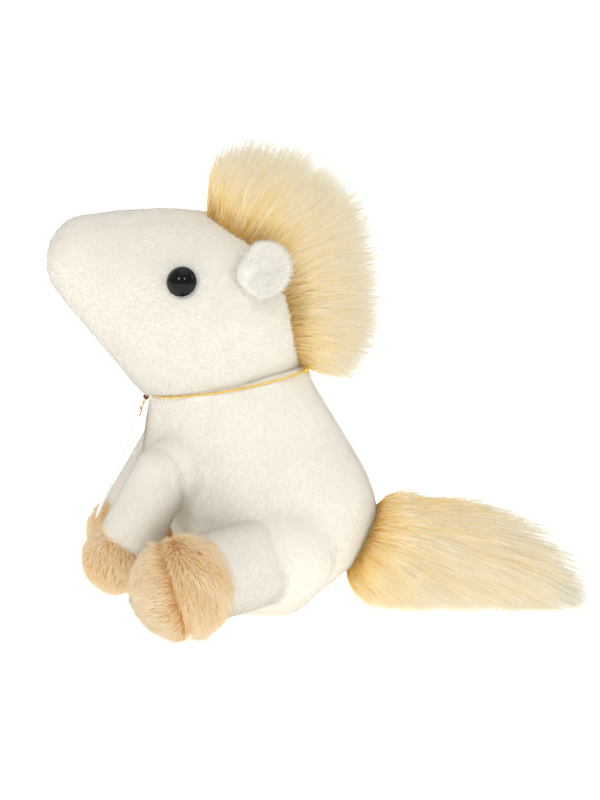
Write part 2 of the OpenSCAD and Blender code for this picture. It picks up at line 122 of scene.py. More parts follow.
class PonyPlush(bpy.types.PropertyGroup):
    """The short white plush of the body, head and legs"""

    length: length("Pile", "Length of the white pile", 2.4)
    width: length("Fibre", "Width of a drawn tuft of fibres at its root", 0.20)
    inset: length("Inset", "Distance of the knitted backing inside the toy's outline", 1.0)
    torso: count("Body tufts", "Number of tufts on the body", 44000)
    head: count("Head tufts", "Number of tufts on the head", 46000)
    sleeve: count("Leg tufts", "Number of tufts on each leg", 10500)
    ear: count("Ear tufts", "Number of tufts on each ear", 4500)
    root: colour("Root", "Colour of the white pile at its roots", "#ebe6d9")
    tip: colour("Tip", "Colour of the white pile at its tips", "#efebe1")


class PonyHair(bpy.types.PropertyGroup):
    """The long golden pile of the mane and tail"""

    width: length("Hair", "Width of a drawn lock of hairs at its root", 0.3)
    mane: count("Mane hairs", "Number of locks in each layer of the mane", 17800)
    tail: count("Tail hairs", "Number of locks in each layer of the tail", 12300)
    root: colour("Root", "Colour of the long pile at its roots", "#efba50")
    middle: colour("Middle", "Colour of the long pile along its length", "#fbe090")
    tip: colour("Tip", "Colour of the long pile at its tips", "#fff9e6")


class PonyHoof(bpy.types.PropertyGroup):
    """The beige pile of the hooves"""

    length: length("Pile", "Length of the beige pile", 6.4)
    width: length("Fibre", "Width of a drawn tuft of fibres at its root", 0.27)
    fore: count("Fore tufts", "Number of tufts on each fore hoof", 6500)
    hind: count("Hind tufts", "Number of tufts on each hind hoof", 16000)
    root: colour("Root", "Colour of the beige pile at its roots", "#d6924a")
    middle: colour("Middle", "Colour of the beige pile along its length", "#f4d69c")
    tip: colour("Tip", "Colour of the beige pile at its tips", "#fae9cb")


class PonyTrim(bpy.types.PropertyGroup):
    """The gold neck cord and the blank hang tag"""

    ply: length("Ply", "Radius of each of the neck cord's two plies", 0.26)
    turn: length("Twist", "Distance along the neck cord for one turn of its plies", 2.6)
    gold: colour("Gold", "Colour of the metallic yarn", "#f7d35a")
    bead: colour("Bead", "Colour of the small bead", "#7a2f1c")
    card: colour("Card", "Colour of the tag's front", "#f1f0ec")
    kraft: colour("Kraft", "Colour of the tag's back", "#d9b98a")


class PonyStage(bpy.types.PropertyGroup):
    """The floor, the lights and the camera"""

    azimuth: bpy.props.FloatProperty(
        name="Azimuth", description="Camera's turn round the toy", default=radians(90), subtype="ANGLE"
    )
    elevation: bpy.props.FloatProperty(
        name="Elevation", description="Camera's height angle", default=radians(10.9), subtype="ANGLE"
    )
    distance: bpy.props.FloatProperty(
        name="Distance", description="Camera's distance", default=2.2, unit="LENGTH", subtype="DISTANCE"
    )
    view: length("View", "Height of the view at the toy", 312, high=2.0)
    floor: colour("Floor", "Colour of the acrylic floor", "#fcfcfb")


# ---- Materials ----


def node(tree, kind, links=(), **settings):
    """Adds a node with its settings, and links sockets of others to its inputs."""
    made = tree.nodes.new(kind)
    for name, value in settings.items():
        if name in made.bl_rna.properties:
            setattr(made, name, value)
        else:
            made.inputs[name.replace("_", " ")].default_value = value
    for name, socket in dict(links).items():
        tree.links.new(socket, made.inputs[name])
    return made


def material(name, **settings):
    """A new material with one Principled shader, whose sockets are set."""
    made = bpy.data.materials.new(name)
    made.use_nodes = True
    shader = made.node_tree.nodes["Principled BSDF"]
    for key, value in settings.items():
        shader.inputs[key.replace("_", " ")].default_value = value
    return made, made.node_tree, shader


def ramp(tree, socket, *stops):
    """A colour ramp through (place, colour) stops."""
    made = node(tree, "ShaderNodeValToRGB", {"Fac": socket})
    band = made.color_ramp.elements
    while len(band) < len(stops):
        band.new(0.5)
    for element, (place, rgb) in zip(band, stops):
        element.position, element.color = place, (*rgb, 1)
    return made.outputs["Color"]


def mixed(a, b, share):
    return tuple(x + (y - x) * share for x, y in zip(a, b))


def pile_material(name, root, middle, tip, pale, roughness, sheen):
    """Knitted pile that was sheared and brushed. Each fibre is deeper at its root, where light
    hardly reaches, and fades towards a bleached tip, and no two tufts are quite the same shade."""
    made, tree, shader = material(
        name, Roughness=roughness, Sheen_Weight=sheen, Sheen_Roughness=0.5, Specular_IOR_Level=0.25
    )
    strand = node(tree, "ShaderNodeAttribute", attribute_name="strand")
    parts = node(tree, "ShaderNodeSeparateColor", {"Color": strand.outputs["Color"]})
    deep = ramp(
        tree, parts.outputs["Red"],
        (0, root), (0.45, mixed(root, middle, 0.75)), (1, mixed(middle, tip, 0.6)),
    )
    light = ramp(
        tree, parts.outputs["Red"],
        (0, mixed(root, middle, 0.5)), (0.4, mixed(middle, tip, 0.55)), (0.95, mixed(tip, pale, 0.8)),
    )
    links = {"Factor": parts.outputs["Green"], "A": deep, "B": light}
    shade = node(tree, "ShaderNodeMix", links, data_type="RGBA")
    # Its third output is the one for colours.
    tree.links.new(shade.outputs[2], shader.inputs["Base Color"])
    return made


def white_pile():
    """Polyester plush, sheared to 2.4 mm: matt, soft at its edges and warm white in the folds."""
    plush = bpy.context.scene.pony_plush
    root, tip = tuple(plush.root), tuple(plush.tip)
    middle, pale = mixed(root, tip, 0.7), linear("#f7f4ed")
    return pile_material("polyester_plush_sheared", root, middle, tip, pale, 0.85, 0.10)


def gold_pile():
    """Modacrylic faux fur, left long and brushed out: silky, golden at the root and cream at the tip."""
    hair = bpy.context.scene.pony_hair
    shades = tuple(hair.root), tuple(hair.middle), tuple(hair.tip), linear("#fffdf4")
    return pile_material("modacrylic_fur_brushed", *shades, 0.6, 0.05)


def hoof_pile():
    """Acrylic faux fur, sheared to 6 mm: beige, with orange-brown roots that show where it parts."""
    hoof = bpy.context.scene.pony_hoof
    shades = tuple(hoof.root), tuple(hoof.middle), tuple(hoof.tip), linear("#fff4dc")
    return pile_material("acrylic_fur_sheared", *shades, 0.7, 0.08)


def knit(name, code, deeper):
    """Warp-knitted backing of a pile fabric: loops 0.9 mm apart that show only where pile parts."""
    made, tree, shader = material(name, Roughness=0.9, Sheen_Weight=0.05)
    place = node(tree, "ShaderNodeTexCoord")
    # Loops of the knit. Its scale is cells in a metre.
    loops = node(tree, "ShaderNodeTexVoronoi", {"Vector": place.outputs["Object"]}, Scale=1100.0)
    patches = node(
        tree, "ShaderNodeTexNoise", {"Vector": place.outputs["Object"]}, Scale=120.0, Detail=3.0
    )
    shade = ramp(tree, patches.outputs["Fac"], (0.3, linear(deeper)), (0.7, linear(code)))
    tree.links.new(shade, shader.inputs["Base Color"])
    bump = node(
        tree, "ShaderNodeBump", {"Height": loops.outputs["Distance"]}, Strength=0.4, Distance=0.0004
    )
    tree.links.new(bump.outputs["Normal"], shader.inputs["Normal"])
    return made


def grained(name, scale, detail, stops, relief=None, **settings):
    """A material whose colour follows a noise of so many cells in a metre. relief is the strength and
    the depth in metres of the bumps that the same noise gives, where there are any."""
    made, tree, shader = material(name, **settings)
    place = node(tree, "ShaderNodeTexCoord")
    grain = node(
        tree, "ShaderNodeTexNoise", {"Vector": place.outputs["Object"]}, Scale=scale, Detail=detail
    )
    tree.links.new(ramp(tree, grain.outputs["Fac"], *stops), shader.inputs["Base Color"])
    if relief:
        bump = node(
            tree, "ShaderNodeBump", {"Height": grain.outputs["Fac"]}, Strength=relief[0], Distance=relief[1]
        )
        tree.links.new(bump.outputs["Normal"], shader.inputs["Normal"])
    return made


def stuffing():
    """Polyester fibre fill, carded: a matt off-white wadding with loose, uneven fibres."""
    stops = (0.3, linear("#ece9e0")), (0.7, linear("#fbfaf6"))
    return grained("polyester_fill_carded", 400.0, 4.0, stops, (1.0, 0.001), Roughness=0.95)


def eye_glass():
    """Acrylic, injection moulded over a black back: a deep black with a hard, wet gloss."""
    stops = (0.3, linear("#020203")), (0.8, linear("#060607"))
    return grained(
        "acrylic_moulded_black", 300.0, 1.0, stops, Roughness=0.03, IOR=1.49, Specular_IOR_Level=0.26
    )


def washer_plastic():
    """Polyethylene, injection moulded: waxy and slightly grey, with a faint matt grain."""
    stops = (0.3, linear("#d3d3cf")), (0.7, linear("#dededb"))
    return grained("polyethylene_moulded", 2500.0, 1.0, stops, (0.2, 0.0001), Roughness=0.5)


def gold_yarn():
    """Metallised polyester film, slit and wrapped round elastic: narrow flats whose colour carries painted
    glints and painted shade, with bumps that glitter.
    The wraps are 0.5 mm apart, a little coarser than real ones so that they show."""
    gold = tuple(bpy.context.scene.pony_trim.gold)
    stops = (
        # The darker and paler stops give the wraps painted shade and painted glints.
        (0.3, mixed(gold, (0.1, 0.05, 0), 0.35)), (0.5, gold), (0.75, mixed(gold, (1, 0.9, 0.6), 0.6))
    )
    return grained(
        "metallised_film_wrapped", 2000.0, 0.0, stops, (0.5, 0.0002), Metallic=1.0, Roughness=0.34
    )


def bead_plastic():
    """Polystyrene, moulded and tumbled: red-brown with darker clouding and a clear gloss."""
    bead = tuple(bpy.context.scene.pony_trim.bead)
    stops = (0.35, mixed(bead, BLACK, 0.5)), (0.65, bead)
    return grained("polystyrene_tumbled", 900.0, 2.0, stops, Roughness=0.2, Coat_Weight=0.5)


def tag_card_stock(name, rgb, roughness):
    """Paperboard, calendered: flat and smooth, with a very fine fibre mottle."""
    stops = (0.3, mixed(rgb, BLACK, 0.08)), (0.6, rgb)
    return grained(name, 1500.0, 4.0, stops, (0.15, 0.0001), Roughness=roughness)


def opal_acrylic():
    """Opal acrylic, cast and lit from below: even, white and almost free of shadows."""
    tint = tuple(bpy.context.scene.pony_stage.floor)
    stops = (0.2, mixed(tint, BLACK, 0.01)), (0.8, tint)
    return grained(
        "opal_acrylic_cast", 200.0, 2.0, stops, Roughness=0.8, Specular_IOR_Level=0.1,
        Emission_Color=(1, 1, 1, 1), Emission_Strength=0.72,
    )


def shared(make, *args):
    """A material that several pieces wear, made the first time it is asked for."""
    key = (make.__name__, *args)
    if key not in shared.made:
        shared.made[key] = make(*args)
    return shared.made[key]


shared.made = {}


def white_knit():
    return shared(knit, "polyester_knit_white", "#efebe1", "#ebe6da")


def gold_knit():
    return shared(knit, "modacrylic_knit_gold", "#e6c682", "#d9b267")


def beige_knit():
    return shared(knit, "acrylic_knit_beige", "#c99a5f", "#b98645")


def wear(ob, *materials):
    ob.data.materials.clear()
    for made in materials:
        ob.data.materials.append(made)


def sewn(ob, body, slot, made, *stands_for, fill=None):
    """Gives a piece its material, hangs it on the empty of the body it rides on, and hides the frame's
    nodes that it stands for.
    """
    wear(ob, made)
    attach(ob, body)
    if stands_for:
        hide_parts(*stands_for)


# ---- Forms ----


def clear_selection():
    if bpy.context.object and bpy.context.object.mode != "OBJECT":
        bpy.ops.object.mode_set(mode="OBJECT")
    bpy.ops.object.select_all(action="DESELECT")


def only(ob):
    """Makes one object the selected and active one."""
    clear_selection()
    ob.select_set(True)
    bpy.context.view_layer.objects.active = ob


def edited(ob, operator, **settings):
    """Runs a mesh operator on all of an object."""
    only(ob)
    bpy.ops.object.mode_set(mode="EDIT")
    bpy.ops.mesh.select_all(action="SELECT")
    operator(**settings)
    bpy.ops.object.mode_set(mode="OBJECT")
    return ob


def placed():
    bpy.ops.object.transform_apply(location=True, rotation=True, scale=True)
    return bpy.context.object


def named(ob, name):
    ob.name = ob.data.name = name
    return ob


def ball(middle, radii, segments=40, rings=26):
    clear_selection()
    bpy.ops.mesh.primitive_uv_sphere_add(
        segments=segments, ring_count=rings, radius=1, location=middle, scale=radii
    )
    return placed()


def joined(name, parts):
    only(parts[0])
    for part in parts[1:]:
        part.select_set(True)
    bpy.ops.object.join()
    return named(bpy.context.object, name)


def wrapped(name, parts):
    """The tight cover round some parts, as a skin pulled over them."""
    return edited(joined(name, parts), bpy.ops.mesh.convex_hull)


def trimmed(ob, point, normal):
    """Cuts off what lies behind a plane and closes the cut."""
    return edited(
        ob, bpy.ops.mesh.bisect, plane_co=point, plane_no=normal, use_fill=True, clear_inner=True
    )


def apply(ob, kind, **settings):
    only(ob)
    added = ob.modifiers.new(kind.title(), kind)
    for name, value in settings.items():
        setattr(added, name, value)
    bpy.ops.object.modifier_apply(modifier=added.name)
    return ob


def softened(ob, voxel, rounds):
    """Remeshes a form evenly and rounds its edges off, as stuffing does to cloth."""
    apply(ob, "REMESH", mode="VOXEL", voxel_size=voxel, use_smooth_shade=True)
    return apply(ob, "SMOOTH", factor=0.5, iterations=rounds)


def vectors(items, key):
    found = np.empty(len(items) * 3)
    items.foreach_get(key, found)
    return found.reshape(-1, 3)


def points_of(ob):
    return vectors(ob.data.vertices, "co")


def normals_of(ob):
    return vectors(ob.data.vertex_normals, "vector")


def moved(ob, points):
    ob.data.vertices.foreach_set("co", points.ravel())
    ob.data.update()
    return ob


def unit(v):
    return v / np.maximum(np.linalg.norm(v, axis=-1, keepdims=True), 1e-12)


def waves(places, draw, size, number, least):
    """A gently rolling height at each place: a number of waves that lie in random directions."""
    height = np.zeros(len(places))
    for _ in range(number):
        way = unit(draw.normal(size=3)) * 2 * pi / (size * draw.uniform(least, 1.6))
        height += np.sin(places @ way + draw.uniform(0, 2 * pi)) / number**0.5
    return height


def stuffed_lumps(ob, amount, size, seed):
    """Makes a form slightly uneven, as hand-filled stuffing is."""
    places, out = points_of(ob), normals_of(ob)
    height = waves(places, np.random.default_rng(seed), size, 7, 0.7)
    return moved(ob, places + out * (height * amount)[:, None])


def pulled_in(ob, points, depth, width):
    """Sinks a soft crease into a form along a line of points, as a pulled seam does."""
    places, out = points_of(ob), normals_of(ob)
    nearest = np.full(len(places), np.inf)
    points = [np.array(p) for p in points]
    for a, b in zip(points, points[1:]):
        way = b - a
        share = np.clip((places - a) @ way / (way @ way), 0, 1)
        nearest = np.minimum(nearest, np.linalg.norm(places - a - share[:, None] * way, axis=1))
    return moved(ob, places - out * (depth * np.exp(-((nearest / width) ** 2)))[:, None])


def pulled_plane(ob, point, normal, depth, width, where=None):
    """Sinks a soft crease into a form where a plane crosses it."""
    places, out = points_of(ob), normals_of(ob)
    off = (places - np.array(point)) @ np.array(normal)
    sink = depth * np.exp(-((off / width) ** 2))
    if where is not None:
        sink = sink * where(places)
    return moved(ob, places - out * sink[:, None])


# ---- Pile ----


def scattered(skin, number, draw, keep=None):
    """Even random places on a skin, with the way out at each."""
    me = skin.data
    me.calc_loop_triangles()
    corners = np.empty(len(me.loop_triangles) * 3, np.int32)
    me.loop_triangles.foreach_get("vertices", corners)
    corners = corners.reshape(-1, 3)
    places, out = points_of(skin), normals_of(skin)
    a, b, c = (places[corners[:, i]] for i in range(3))
    area = np.linalg.norm(np.cross(b - a, c - a), axis=1)
    if keep is not None:
        area = area * keep((a + b + c) / 3)
    steps = np.cumsum(area)
    # Stratified draws leave no bald spots.
    pick = np.searchsorted(steps, (np.arange(number) + draw.random(number)) / number * steps[-1])
    pick = pick.clip(0, len(area) - 1)
    u, v = draw.random((2, number))
    flip = u + v > 1
    u, v = np.where(flip, 1 - u, u), np.where(flip, 1 - v, v)
    shares = np.stack([1 - u - v, u, v], 1)[:, :, None]
    return (
        (places[corners[pick]] * shares).sum(1),
        unit((out[corners[pick]] * shares).sum(1)),
    )


def bunched(roots, reach, per_bunch, pull, draw):
    """How far each strand's tip leans to the middle of its bunch, as real pile clings together."""
    leaders = draw.choice(len(roots), max(1, len(roots) // per_bunch), replace=False)
    tree = KDTree(len(leaders))
    for i, leader in enumerate(leaders):
        tree.insert(roots[leader], i)
    tree.balance()
    own = leaders[[tree.find(r)[1] for r in roots]]
    tips = roots + reach
    return (tips[own] - tips) * pull


def strands(name, roots, start, bend, width, steps, tone, draw, out=None, soft=0.0):
    """One mesh of tapered three-sided strands. Each runs from its root by start * t + bend * t * t.
    Their attribute holds the share of the way to the tip, and the strand's tone. Where the way out
    of the skin is given, the shading leans towards it by the share called soft."""
    low = 0.0002  # height over the floor below which no strand goes
    number = len(roots)
    t = np.linspace(0, 1, steps + 1)
    line = roots[:, None] + start[:, None] * t[:, None] + bend[:, None] * (t**2)[:, None]
    line[..., 2] = np.maximum(line[..., 2], low)
    way = unit(start + bend)
    side = unit(np.cross(way, unit(draw.normal(size=(number, 3)))))
    other = np.cross(way, side)
    thick = np.asarray(width) * draw.uniform(0.75, 1.25, number) / 2
    taper = (1 - t[:-1] ** 1.5) * 0.9 + 0.1
    rings = []
    for k in range(3):
        around = side * cos(2 * pi * k / 3) + other * sin(2 * pi * k / 3)
        rings.append(line[:, :-1] + around[:, None] * (thick[:, None] * taper)[:, :, None])
    # Ordered as ring by ring and then the tip, for each strand.
    body = np.stack(rings, 2).reshape(number, steps * 3, 3)
    body[..., 2] = np.maximum(body[..., 2], low)
    places = np.concatenate([body, line[:, -1:]], 1)
    per = steps * 3 + 1
    faces = []
    for s in range(steps):
        for k in range(3):
            a, b = s * 3 + k, s * 3 + (k + 1) % 3
            if s < steps - 1:
                faces += [(a, b, b + 3), (a, b + 3, a + 3)]
            else:
                faces.append((a, b, per - 1))
    faces.append((0, 2, 1))
    faces = np.array(faces)
    corners = (faces[None] + (np.arange(number) * per)[:, None, None]).reshape(-1)
    me = bpy.data.meshes.new(name)
    me.vertices.add(number * per)
    me.vertices.foreach_set("co", places.ravel())
    me.loops.add(len(corners))
    me.loops.foreach_set("vertex_index", corners)
    me.polygons.add(len(corners) // 3)
    me.polygons.foreach_set("loop_start", np.arange(0, len(corners), 3))
    along = np.tile(np.append(np.repeat(t[:-1], 3), 1.0), (number, 1))
    colours = np.zeros((number, per, 4))
    colours[..., 0], colours[..., 1], colours[..., 3] = along, tone[:, None], 1
    layer = me.color_attributes.new("strand", "FLOAT_COLOR", "POINT")
    layer.data.foreach_set("color", colours.ravel())
    # A map of tone across and way to the tip up, so that a baked picture of it is plain bands.
    spread = np.append(np.tile([-0.012, 0.0, 0.012], steps), 0.0)
    u = 0.03 + 0.94 * tone[:, None] + spread
    v = 0.01 + 0.98 * along
    flat = np.stack([u, v], 2).reshape(-1, 2)[corners]
    me.uv_layers.new(name="OFBake").uv.foreach_set("vector", flat.astype(np.float32).ravel())
    me.update()
    me.validate()
    made = bpy.data.objects.new(name, me)
    bpy.context.scene.collection.objects.link(made)
    # Light passes between real fibres, which are far finer than the drawn ones.
    made.visible_shadow = False
    if out is not None:
        own = normals_of(made).reshape(number, per, 3)
        leaning = unit(own * (1 - soft) + out[:, None] * soft)
        me.normals_split_custom_set_from_vertices(leaning.reshape(-1, 3))
    return made


def tones(roots, draw, middle=0.5, spread=0.2, patch=0.16, size=0.014):
    """A tone for each strand, which drifts a little from patch to patch."""
    drift = waves(roots, draw, size, 5, 0.6)
    return np.clip(draw.normal(middle, spread, len(roots)) + drift * patch, 0, 1)


def inside(skin, margin):
    """A test of whether points lie deeper than a margin inside a closed skin."""
    tree = BVHTree.FromObject(skin, bpy.context.evaluated_depsgraph_get())

    def test(places):
        found = np.zeros(len(places), bool)
        for i, place in enumerate(places):
            hit, out, _, _ = tree.find_nearest(place)
            found[i] = (Vector(place) - hit).dot(out) < -margin
        return found

    return test


def combed(nap, roots, out):
    """The nap's direction at each root, laid flat on the skin."""
    comb = nap(roots) if callable(nap) else np.tile(np.array(nap, float), (len(roots), 1))
    return unit(comb - (comb * out).sum(1)[:, None] * out)


def short_pile(name, skin, body, number, nap, seed, keep):
    """Sheared white pile over a skin, laid over in the direction of its nap. The head's has no body."""
    plush = bpy.context.scene.pony_plush
    draw = np.random.default_rng(seed)
    roots, out = scattered(skin, number, draw, keep)
    comb = combed(nap, roots, out)
    way = unit(out * 0.65 + comb * 0.6 + draw.normal(0, 0.07, (number, 3)))
    size = plush.length * draw.uniform(0.8, 1.05, number)[:, None]
    start = way * size * 0.9
    bend = (comb * 0.35 - out * 0.1) * size
    bend += bunched(roots, start + bend, 9, 0.05, draw)
    made = strands(
        name, roots - out * 0.0003, start, bend, plush.width, 1, tones(roots, draw), draw, out, 0.3
    )
    if body:
        sewn(made, body, "white_plush", shared(white_pile))
    return made


def longer_pile(
    name, skin, number, long, width, nap, seed, keep=None, lift=0.75, lay=0.6, tone=0.5
):
    """Pile long enough to fall over in tufts, drawn with a bend in each."""
    draw = np.random.default_rng(seed)
    roots, out = scattered(skin, number, draw, keep)
    comb = combed(nap, roots, out)
    way = unit(out * lift + comb * lay + draw.normal(0, 0.2, (number, 3)))
    size = long * draw.uniform(0.7, 1.1, number)[:, None]
    start = way * size * 0.8
    bend = (comb * 0.45 - out * 0.18) * size + draw.normal(0, 0.06, (number, 3)) * size
    bend += bunched(roots, start + bend, 10, 0.10, draw)
    middle = tone(roots) if callable(tone) else tone
    return strands(
        name, roots - out * 0.0004, start, bend, width, 2,
        tones(roots, draw, middle, patch=0.24), draw, out, 0.25,
    )


def reach_to(node_name, places, aims, default):
    """How far it is from each place along its aim to the far side of a node."""
    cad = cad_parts[node_name]
    outline = BVHTree.FromPolygons(
        [v.co for v in cad.data.vertices], [p.vertices for p in cad.data.polygons]
    )
    found = np.full(len(places), default)
    # Rays come in from outside the toy, and a hit within 2 mm of the place doesn't count.
    beyond, close = 0.14, 0.138
    for i, (place, aim) in enumerate(zip(places, aims)):
        hit = outline.ray_cast(place + aim * beyond, -aim)
        if hit[0] and hit[3] < close:
            found[i] = beyond - hit[3]
    return found


def on_head(back, up):
    """A point on the left side of the head, from its place behind and above its middle."""
    rest = 1 - (back * back + up * up) / CROWN_R.y**2
    return Vector((CROWN_R.x * rest**0.5, back, up))


def out_of_head(p):
    return Vector((p.x / CROWN_R.x**2, p.y / CROWN_R.y**2, p.z / CROWN_R.z**2)).normalized()


# The left eye's middle on the head's skin, and the way that it looks.
EYE_AT = CROWN + on_head(-0.010, 0.0175)
EYE_OUT = out_of_head(on_head(-0.010, 0.0175))


def in_mane(places):
    """Whether points on the head lie behind the mane's front edge."""
    edge = np.interp(places[:, 2] - CROWN.z, MANE_UP, MANE_BACK)
    return places[:, 1] - CROWN.y > edge


def with_neck(ob):
    """Bakes a head piece's placement into its mesh."""
    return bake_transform(ob)


def by_side(v, side):
    """A place on the left as it is, or mirrored to the right."""
    return Vector((v[0] * side, v[1], v[2]))


def middle_of(node_name):
    low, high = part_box(node_name)
    return (Vector(low) + Vector(high)) / 2


# ---- Operators ----


class PONY_OT_torso(bpy.types.Operator):
    """Cut, stuff and brush the body"""

    bl_idname = "pony.torso"
    bl_label = "Body"

    def execute(self, context):
        plush = context.scene.pony_plush
        inset = Vector((1, 1, 1)) * plush.inset
        # The neck ends in a disc 2 mm thick, a little above its middle's place.
        start, tall = NECK + NECK_AXIS * 0.0012, MM
        parts = [ball(SEAT, SEAT_R - inset), ball(RUMP, RUMP_R - inset), ball(CHEST, CHEST_R - inset)]
        clear_selection()
        bpy.ops.mesh.primitive_cylinder_add(
            vertices=64, radius=1, depth=2, location=start, rotation=(NECK_LEAN, 0, 0),
            scale=(NECK_R[0] - plush.inset, NECK_R[1] - plush.inset, tall),
        )
        parts.append(placed())
        skin = trimmed(wrapped("torso_plush", parts), (0, 0, 0.0004), (0, 0, 1))
        # The body swells into each limb, so that none starts with a hard edge.
        mounds = [
            ball(by_side(place, side), [r] * 3)
            for side in (LEFT, RIGHT)
            for place, r in ((SHOULDER + mm(-3, 4.0, 1.2), 0.0130), (HIP + mm(-1.8, 4, 1.2), 0.0196))
        ]
        skin = joined("torso_plush", [skin, *mounds])
        softened(skin, 0.0018, 14)
        # The neck is drawn in behind, so that the back is slightly hollow above the rump.
        pulled_in(skin, [mm(0, 24, 88), mm(0, 33, 70), mm(0, 41, 57)], 0.0026, 0.015)
        stuffed_lumps(skin, 0.0005, 0.028, 3)
        pulled_plane(skin, (0, 0, 0), (1, 0, 0), 0.0007, 0.0016)
        for side in (LEFT, RIGHT):
            # The thigh pulls a faint crease into the side of the body.
            fold = [mm(36, -20, 44), mm(38, -2, 50), mm(34, 18, 46)]
            pulled_in(skin, [by_side(place, side) for place in fold], 0.0012, 0.0045)
        sewn(
            skin, "torso", "white_plush", white_knit(), "torso_panel_left", "torso_panel_right",
            "torso_stuffing", "seat_patch", fill=0.85,
        )

        def shown(places):
            # No pile grows under the seat, where a leg starts, or inside the neck.
            under = places[:, 2] < 0.0012
            legs = np.zeros(len(places), bool)
            for side in (LEFT, RIGHT):
                for root, r in ((SHOULDER, 0.0105), (HIP, 0.0165)):
                    legs |= np.linalg.norm(places - np.array(by_side(root, side)), axis=1) < r
            top = (places - np.array(NECK)) @ np.array(NECK_AXIS) > -0.0008
            return ~(under | legs | top)

        short_pile("torso_pile", skin, "torso", plush.torso, (0, 0.15, -1), 11, shown)
        return {"FINISHED"}


class PONY_OT_head(bpy.types.Operator):
    """Cut, stuff and brush the head"""

    bl_idname = "pony.head"
    bl_label = "Head"

    def execute(self, context):
        plush = context.scene.pony_plush
        inset = Vector((1, 1, 1)) * plush.inset
        # The muzzle is stuffed tight, and keeps its full size.
        skin = wrapped("head_plush", [
            ball(CROWN, CROWN_R - inset),
            ball(MUZZLE + mm(0, 0.4, 0.6), MUZZLE_R - inset * 0.4),
            ball(mm(0, -55, 145.8), mm(15, 13, 13.6)),
        ])
        trimmed(skin, NECK - NECK_AXIS * 0.0006, NECK_AXIS)
        softened(skin, 0.0016, 8)
        stuffed_lumps(skin, 0.0004, 0.03, 5)

        def brow(places):
            return np.clip((places[:, 2] - 0.125) / 0.008, 0, 1) * np.clip(
                (places[:, 1] + 0.078) / 0.012, 0, 1)

        for side in (LEFT, RIGHT):
            # The two seams beside the head's middle panel show on the brow.
            pulled_plane(skin, (0.009 * side, 0, 0), (1, 0, 0), 0.0004, 0.0012, brow)
            # A pulled crease from under the ear towards the throat.
            fold = [mm(28, 3, 127), mm(30, -5, 119), mm(29, -14, 110)]
            pulled_in(skin, [by_side(place, side) for place in fold], 0.0011, 0.003)
            # The eye's washer draws the cloth in around the eye.
            eye = by_side(EYE_AT, side)
            pulled_in(skin, [eye, eye + mm(0.1, 0, 0)], 0.0010, 0.0065)
        wear(skin, white_knit(), gold_knit())
        middles = np.array([face.center for face in skin.data.polygons])
        under_hair = (in_mane(middles - [0, 0.0015, 0]) & (middles[:, 2] > MANE_LOW)).astype(np.int32)
        skin.data.polygons.foreach_set("material_index", under_hair)
        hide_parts("head_panel_left", "head_panel_right", "head_gusset", "head_stuffing")
        eyes = [np.array(by_side(EYE_AT, side)) for side in (LEFT, RIGHT)]

        def shown(places):
            # No white pile grows under the mane, inside the neck or under an eye.
            near = np.minimum(*(np.linalg.norm(places - eye, axis=1) for eye in eyes))
            base = (places - np.array(NECK)) @ np.array(NECK_AXIS) < 0.0012
            return ~(in_mane(places - [0, 0.002, 0]) | base | (near < 0.0052))

        def nap(places):
            # Brushed back from the nose and down at the cheeks.
            down = np.clip((0.14 - places[:, 2]) / 0.04, 0, 1)
            return np.array([0, 0.8, 0]) - [0, 0, 1] * down[:, None]

        pile = short_pile("head_pile", skin, None, plush.head, nap, 12, shown)
        wear(pile, shared(white_pile))
        with_neck(pile)
        with_neck(skin)
        return {"FINISHED"}


class PONY_OT_eyes(bpy.types.Operator):
    """Mould the two glossy eyes"""

    bl_idname = "pony.eyes"
    bl_label = "Eyes"

    def execute(self, context):
        for side, name in SIDES:
            big = (EYE_R**2 + EYE_H**2) / (2 * EYE_H)
            clear_selection()
            bpy.ops.mesh.primitive_uv_sphere_add(segments=64, ring_count=48, radius=big)
            eye = named(bpy.context.object, f"eye_dome_{name}")
            trimmed(eye, (0, 0, big - EYE_H), (0, 0, 1))
            apply(eye, "BEVEL", width=0.00035, segments=3, limit_method="ANGLE", angle_limit=radians(40))
            out = by_side(EYE_OUT, side)
            turn = out.to_track_quat("Z", "Y").to_matrix().to_4x4()
            # The dome's rim stands 0.2 mm into the cloth.
            place = Matrix.Translation(by_side(EYE_AT, side) - out * (big - EYE_H + 0.0002))
            eye.data.transform(place @ turn)
            bpy.ops.object.shade_smooth_by_angle(angle=radians(35))
            sewn(eye, "head", "black_eye", shared(eye_glass), f"eye_{name}")
        return {"FINISHED"}


